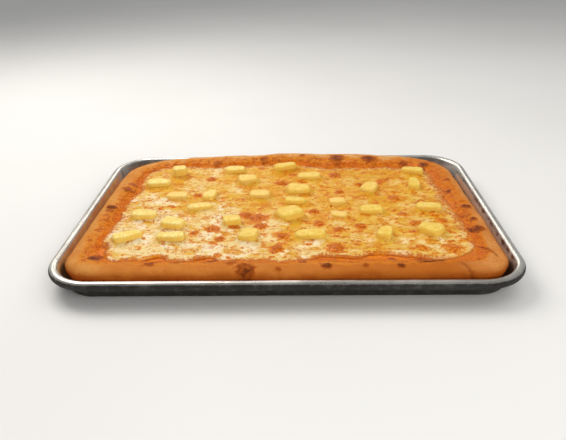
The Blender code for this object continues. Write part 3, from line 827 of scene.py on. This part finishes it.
def chunk_outline(chunk, taper):
    """Points round a swollen chunk seen from above, about its own centre."""
    half_length, half_width = chunk[2] * MM / 2 + CHUNK_PLUMP, chunk[3] * MM / 2 + CHUNK_PLUMP
    turn = 2 * np.pi * (np.arange(CHUNK_POINTS) + 0.5) / CHUNK_POINTS
    c, s = np.cos(turn), np.sin(turn)
    along = np.sign(c) * np.abs(c) ** CHUNK_ROUNDNESS
    across = np.sign(s) * np.abs(s) ** CHUNK_ROUNDNESS
    return np.column_stack([half_length * along, half_width * across * (1 + taper * along)])


def chunk_distance(points, chunk, taper):
    """Rough distance outwards from a chunk's side, negative under the chunk."""
    turn = math.radians(chunk[5])
    x = points[:, 0] - chunk[0] * MM
    y = points[:, 1] - chunk[1] * MM
    along = x * math.cos(turn) + y * math.sin(turn)
    across = -x * math.sin(turn) + y * math.cos(turn)
    half_length, half_width = chunk[2] * MM / 2, chunk[3] * MM / 2
    wide = half_width * (1 + taper * np.clip(along / half_length, -1, 1))
    power = 2 / CHUNK_ROUNDNESS
    size = (np.abs(along / half_length) ** power + np.abs(across / wide) ** power) ** (1 / power)
    return (size - 1) * np.minimum(half_length, wide)


def resampled(line, count):
    """count + 1 points at equal steps along a line of points."""
    steps = np.linalg.norm(np.diff(line, axis=0), axis=1)
    at = np.concatenate([[0], np.cumsum(steps)])
    want = np.linspace(0, at[-1], count + 1)
    return np.column_stack([np.interp(want, at, line[:, k]) for k in range(line.shape[1])])


def filling_grid(ring, across, up):
    """An even grid of points that fills a closed outline with four corners."""
    long_steps, short_steps, corner = OUTLINE_STEPS
    starts = [corner // 2]
    for side in (long_steps, short_steps, long_steps, short_steps):
        starts.append(starts[-1] + side + corner)
    doubled = np.concatenate([ring, ring])
    back, left, front, right = [doubled[a:b + 1] for a, b in zip(starts, starts[1:])]
    top, bottom = resampled(back[::-1], across), resampled(front, across)
    west, east = resampled(left[::-1], up), resampled(right, up)
    u = np.linspace(0, 1, across + 1)[None, :, None]
    v = np.linspace(0, 1, up + 1)[:, None, None]
    grid = (1 - v) * bottom[None] + v * top[None] + (1 - u) * west[:, None] + u * east[:, None]
    low_corners = (1 - v) * ((1 - u) * bottom[0] + u * bottom[-1])
    return grid - low_corners - v * ((1 - u) * top[0] + u * top[-1])


def cheese_edge(rings):
    """The cheese's lacy edge, lying on the sauce part way down the slope."""
    guide = rings[CHEESE_GUIDE_ROW]
    front = smooth_step(-0.112, -0.122, guide[:, 1])
    row = CHEESE_EDGE_ROW - 3.2 * front + (1.6 - 0.7 * front) * field(guide, 15 * MM, 7)
    row += 1.4 * field(guide, 6 * MM, 8) + 0.45 * field(guide, 2.6 * MM, 9)
    for x, y, reach, depth in BAYS:
        away = np.hypot(guide[:, 0] - x * MM, guide[:, 1] - y * MM) / (reach * MM)
        row += depth * MM / RECESS_ROW_STEP * np.exp(-away * away)
    edge = on_slope(rings, np.clip(row, *CHEESE_EDGE_LIMITS))
    edge[:, 2] = np.maximum(edge[:, 2] + 0.9 * MM, POOL_LEVEL + 0.5 * MM)
    return edge


def toasting(points):
    """How golden the cheese is: paler at the left and in front, toasted at the right and the back."""
    x, y = points[:, 0], points[:, 1]
    right = smooth_step(-0.13, 0.07, x)
    back = smooth_step(-0.09, 0.06, y)
    front = smooth_step(-0.07, -0.10, y)
    return 0.42 * right * (1 - 0.4 * front) + 0.34 * back * (1 - 0.6 * smooth_step(-0.02, 0.06, x))


def curl_offset(points):
    """How far in mm each point lies beyond the folded lip, and 1 beside the lip, 0 past its ends."""
    path = np.array(CURL) - CURL_CENTRE
    turns = np.arctan2(path[:, 1], path[:, 0])
    x, y = points[:, 0] / MM - CURL_CENTRE[0], points[:, 1] / MM - CURL_CENTRE[1]
    turn = np.arctan2(y, x)
    beyond = np.hypot(x, y) - np.interp(turn, turns, np.hypot(path[:, 0], path[:, 1]))
    near = smooth_step(turns[0] - 0.25, turns[0], turn) * smooth_step(turns[-1] + 0.25, turns[-1], turn)
    return beyond, near


def edge_distance(flat, edge):
    """How far each point is from the edge in plan, and how high the edge is there."""
    tree = kdtree.KDTree(len(edge))
    for i, p in enumerate(edge):
        tree.insert((p[0], p[1], 0), i)
    tree.balance()
    found = [tree.find(p) for p in flat]
    return np.array([f[2] for f in found]), edge[[f[1] for f in found], 2]


def cheese_relief(flat):
    """Height of the swells, strands and curds above the cheese's level."""
    warp = np.column_stack([field(flat, 22 * MM, 13), field(flat, 22 * MM, 14), np.zeros(len(flat))])
    bent = flat + warp * 7 * MM
    strands = (1 - np.abs(field(bent, 5.5 * MM, 15, (0.4, 1, 1)))) ** 2
    height = CHEESE_WAVE * field(flat, 34 * MM, 5) + 0.4 * MM * field(flat, 13 * MM, 6)
    height += 0.5 * MM * field(bent, 9 * MM, 23, (0.7, 1, 1))
    return height + (0.42 * strands + 0.22 * field(bent, 3.4 * MM, 16)) * MM


def small_spots():
    """Place, radius, turn, stretch and darkness of the small toasted spots, most of them at the right."""
    scatter = random.Random(SEED)
    spots = []
    while len(spots) < SMALL_SPOTS:
        x, y = scatter.uniform(-0.185, 0.185), scatter.uniform(-0.125, 0.12)
        density = 0.12 + 0.75 * smooth_step(-0.11, 0.03, x) + 0.15 * smooth_step(-0.05, 0.06, y)
        density += 0.5 * smooth_step(-0.095, -0.12, y) + 0.3 * smooth_step(0.14, 0.18, x)
        if scatter.random() <= density:
            radius = scatter.choice(SPOT_RADII)
            turn = scatter.uniform(-0.6, 0.6)
            stretch = scatter.uniform(1.0, 2.2)
            spots.append((x, y, radius, turn, stretch, scatter.uniform(0.35, 0.9)))
    return spots


def add_browning(flat, height):
    """Raises blisters and spots in height, and gives how brown each point is."""
    brown = np.zeros(len(flat))
    ragged = 0.28 * field(flat, 4 * MM, 17) + 0.2 * field(flat, 9 * MM, 18)
    for x, y, radius in BLISTERS:
        away = np.hypot(flat[:, 0] - x * MM, flat[:, 1] - y * MM) / (radius * MM)
        height += BLISTER_RISE * np.clip(1 - away ** 2, 0, 1) ** 1.5
        crisp = 1 - 0.25 * smooth_step(90, 130, x)
        brown = np.maximum(brown, crisp * smooth_step(1.6, 0.5, away + 1.6 * ragged))
    for x, y, radius, turn, stretch, dark in small_spots():
        dx, dy = flat[:, 0] - x, flat[:, 1] - y
        along = (dx * math.cos(turn) + dy * math.sin(turn)) / (radius * stretch)
        across = (dy * math.cos(turn) - dx * math.sin(turn)) / radius
        away = np.hypot(along, across)
        close = away < 2
        spot = dark * smooth_step(1.3, 0.3, away[close] + 1.3 * ragged[close])
        brown[close] = np.maximum(brown[close], spot)
        height[close] += 0.35 * MM * np.clip(1 - away[close] ** 2, 0, 1)
    return brown


def lay_round_chunks(flat, top, brown, tapers):
    """Draws the cheese up round the chunks and down under them, and gives how wet their juice makes it."""
    wet = np.zeros(len(flat))
    for number, (chunk, taper) in enumerate(zip(CHUNKS, tapers), 1):
        away = chunk_distance(flat, chunk, taper) / MM
        bank = min((0.34 + 0.25 * SMEARED.get(number, 0)) * chunk[4] * MM, COLLAR_LIMIT)
        collar = np.exp(-(np.maximum(0, away - 0.7) / 2.0) ** 2)
        top += bank * collar * smooth_step(-2.5, 0.5, away)
        under = away < -1.5
        top[under] = np.minimum(top[under], CHEESE_LEVEL - 1.5 * MM)
        brown *= 1 - 0.8 * smooth_step(2.5, 0, away)
        wet = np.maximum(wet, smooth_step(5, 0.5, away))
    return wet


def closed_blanket(points):
    """Points and faces of the cheese's grid, closed by a thin edge and a hidden underside."""
    across, up = CHEESE_CELLS
    wide = across + 1
    starts = [wide * j for j in range(up + 1)]
    faces = [(r + i, r + i + 1, r + wide + i + 1, r + wide + i) for r in starts[:-1] for i in range(across)]
    rim = list(range(across)) + [r + across for r in starts[:-1]]
    rim += [starts[-1] + i for i in range(across, 0, -1)] + starts[:0:-1]
    low = points[rim] - (0, 0, 0.35 * MM)
    deep = low * (0.97, 0.97, 0) + (0, 0, CHEESE_UNDERSIDE)
    first, count = len(points), len(rim)
    for i in range(count):
        j = (i + 1) % count
        faces.append((rim[j], rim[i], first + i, first + j))
        faces.append((first + j, first + i, first + count + i, first + count + j))
    faces.append(tuple(range(first + 2 * count - 1, first + count - 1, -1)))
    return np.vstack([points, low, deep]), faces


def make_cheese(rings, tapers, material):
    edge = cheese_edge(rings)
    flat = filling_grid(edge, *CHEESE_CELLS).reshape(-1, 3) * (1, 1, 0)
    x, y = flat[:, 0], flat[:, 1]
    from_edge, edge_z = edge_distance(flat, edge)
    height = cheese_relief(flat)
    brown = add_browning(flat, height)
    beyond, near_curl = curl_offset(flat)
    # the line under the folded lip, sunk and painted in shade
    seam = np.exp(-((beyond - 0.9) / 0.8) ** 2) * near_curl
    lip = np.exp(-((beyond + 1.7) / 1.5) ** 2) * near_curl
    calm = smooth_step(40 * MM, 18 * MM, np.hypot(x - CALM_CENTRE[0], y - CALM_CENTRE[1]))
    froth = smooth_step(11 * MM, 2 * MM, from_edge) * (1 - 0.8 * calm)
    height += (lip - 0.6 * seam + 0.4 * froth * (0.3 + field(flat, 3.4 * MM, 19))) * MM
    top = CHEESE_LEVEL + height
    top += np.maximum(0, edge_z + 0.7 * MM - top) * np.clip(1 - from_edge / (9 * MM), 0, 1) ** 2
    border = np.clip(1 - from_edge / (3.6 * MM), 0, 1) ** 1.5
    top = top * (1 - border) + (edge_z - 0.3 * MM) * border
    wet = lay_round_chunks(flat, top, brown, tapers)
    toast = toasting(flat) + 0.22 * field(flat, 30 * MM, 11) + 0.16 * field(flat, 12 * MM, 12) + 0.12 * wet
    lace_width = 6 + 8 * smooth_step(0.10, 0.17, x) + 5 * smooth_step(0.06, 0.11, y)
    lace = np.clip(1 - (from_edge / MM - 0.4) / lace_width, 0, 1) ** 0.8 * (1 - 0.6 * calm)
    oily = bay_share(flat, 0.6) * smooth_step(6 * MM, 1 * MM, from_edge)
    past_lip = near_curl * 1.3 * smooth_step(0.5, 1.5, beyond)
    masks = {
        "toast": np.clip(toast, 0, 1), "brown": brown, "edge": lace,
        "seam": seam, "lip": lip, "bay": np.maximum(oily, past_lip),
    }
    points, faces = closed_blanket(np.column_stack([x, y, top]))
    hidden = np.zeros(len(points) - len(flat))
    for key, values in masks.items():
        masks[key] = np.append(values, hidden + 1 if key == "edge" else hidden)
    mesh_object("browned_cheese", "cheese", points, faces, material, masks)


# Pineapple


def make_chunk(number, chunk, taper, lean, material):
    height = chunk[4] * MM + CHUNK_SINK + (CHUNK_PLUMP if chunk[4] < PLUMP_BELOW else 0)
    centre = (chunk[0] * MM, chunk[1] * MM)
    seat = CHEESE_LEVEL + 0.5 * CHEESE_WAVE * wave(*centre, 34 * MM, 5) - CHUNK_SINK + GAP
    plan = chunk_outline(chunk, taper)
    slope = plan @ np.array(lean)
    coarse = []
    for share, level in CHUNK_RINGS:
        coarse.append(np.column_stack([plan * share, (height + slope) * level]))
    rings = list(smooth_rings(np.array(coarse), 5))
    top_share = CHUNK_RINGS[-1][0]
    for share in (0.9, 0.75, 0.55, 0.35, 0.15):
        dome = CHUNK_DOME * (1 - share ** 2)
        rings.append(np.column_stack([plan * share * top_share, height + slope * share + dome]))
    local = np.concatenate(rings)
    out = local - (0, 0, height * 0.5)
    out /= np.linalg.norm(out, axis=1)[:, None]
    seed = np.array([number * 0.37, number * 0.21, 0])
    lumps = field(local + seed, 8 * MM, 20)
    fibres = field(local + seed, 1.7 * MM, 21, (0.14, 1, 1))
    fade = smooth_step(0, 0.35, local[:, 2] / height)
    shaped = local + out * ((0.55 * lumps + 0.1 * fibres - 0.15) * fade * MM)[:, None]
    turn = Matrix.Rotation(math.radians(chunk[5]), 3, "Z")
    placed = shaped @ np.array(turn).T + (*centre, seat)
    faces = tube_faces(len(rings), CHUNK_POINTS)
    faces.append(tuple(range(CHUNK_POINTS))[::-1])
    faces.append(tuple(range(len(local) - CHUNK_POINTS, len(local))))
    film = np.maximum(0.7 * smooth_step(0.46, 0.3, local[:, 2] / height), SMEARED.get(number, 0.0))
    name = f"pineapple_chunk_{number:02d}"
    masks = {"local": local + seed, "film": film}
    mesh_object(name, f"pineapple_{number:02d}", placed, faces, material, masks)


# Stage


def make_floor():
    mesh = bpy.data.meshes.new("floor")
    size = FLOOR_HALF_SIZE
    corners = [(-size, -size, 0), (size, -size, 0), (size, size, 0), (-size, size, 0)]
    mesh.from_pydata(corners, [], [(0, 1, 2, 3)])
    mesh.materials.append(floor_material())
    floor = bpy.data.objects.new("floor", mesh)
    bpy.context.scene.collection.objects.link(floor)


def make_sky():
    """A plain sky, brightest above and behind and darker towards the viewer."""
    world = bpy.data.worlds.new("studio")
    world.use_nodes = True
    tree = world.node_tree
    place = add_node(tree, "ShaderNodeTexCoord", {}).outputs["Generated"]
    parts = add_node(tree, "ShaderNodeSeparateXYZ", {0: place}).outputs
    lean = add_node(tree, "ShaderNodeMath", {0: parts["Y"], 1: parts["Z"]}, operation="ADD").outputs[0]
    limits = {"Value": lean, "From Min": 0.1, "From Max": 1.2, "To Min": SKY_FRONT, "To Max": 1.0}
    sky = tree.nodes["Background"].inputs
    feed(tree, sky["Color"], add_node(tree, "ShaderNodeMapRange", limits).outputs["Result"])
    feed(tree, sky["Strength"], SKY_STRENGTH)
    bpy.context.scene.world = world


def make_lights():
    for name, place, size, power, colour in LIGHTS:
        data = bpy.data.lights.new(name, "AREA")
        data.size = size
        data.energy = power
        data.color = colour
        light = bpy.data.objects.new(name, data)
        light.visible_glossy = name in ("key", "card")
        light.visible_diffuse = name != "card"  # the card is only there for the metal to reflect
        light.location = place
        light.rotation_euler = (-Vector(place)).to_track_quat("-Z", "Y").to_euler()
        bpy.context.scene.collection.objects.link(light)


def make_camera():
    ahead = Vector((
        math.sin(CAMERA_YAW) * math.cos(CAMERA_DOWN),
        math.cos(CAMERA_YAW) * math.cos(CAMERA_DOWN),
        -math.sin(CAMERA_DOWN),
    ))
    level = Vector((math.cos(CAMERA_YAW), -math.sin(CAMERA_YAW), 0))
    above = level.cross(ahead)
    right = level * math.cos(CAMERA_ROLL) + above * math.sin(CAMERA_ROLL)
    up = above * math.cos(CAMERA_ROLL) - level * math.sin(CAMERA_ROLL)
    data = bpy.data.cameras.new("camera")
    data.sensor_width = SENSOR_WIDTH
    data.lens = SENSOR_WIDTH * FOCAL_PX / IMAGE_WIDTH
    data.clip_start = 0.01
    camera = bpy.data.objects.new("camera", data)
    turn = Matrix((right, up, -ahead)).transposed().to_4x4()
    camera.matrix_world = Matrix.Translation(CAMERA_AT) @ turn
    bpy.context.scene.collection.objects.link(camera)
    bpy.context.scene.camera = camera


def main():
    bpy.context.scene.view_settings.view_transform = "Standard"
    make_camera()
    make_floor()
    make_sky()
    make_lights()
    rings = smooth_rings(dough_rings(), ROWS_A_RING)
    make_pan(pan_material())
    make_crust(rings, crust_material())
    make_sauce(rings, sauce_material())
    scatter = random.Random(SEED)
    tapers = [scatter.uniform(-1, 1) * CHUNK_TAPER for _ in CHUNKS]
    make_cheese(rings, tapers, cheese_material())
    fruit = fruit_material()
    for number, (chunk, taper) in enumerate(zip(CHUNKS, tapers), 1):
        lean = [scatter.uniform(-1, 1) * CHUNK_TILT for _ in range(2)]
        make_chunk(number, chunk, taper, lean, fruit)


main()
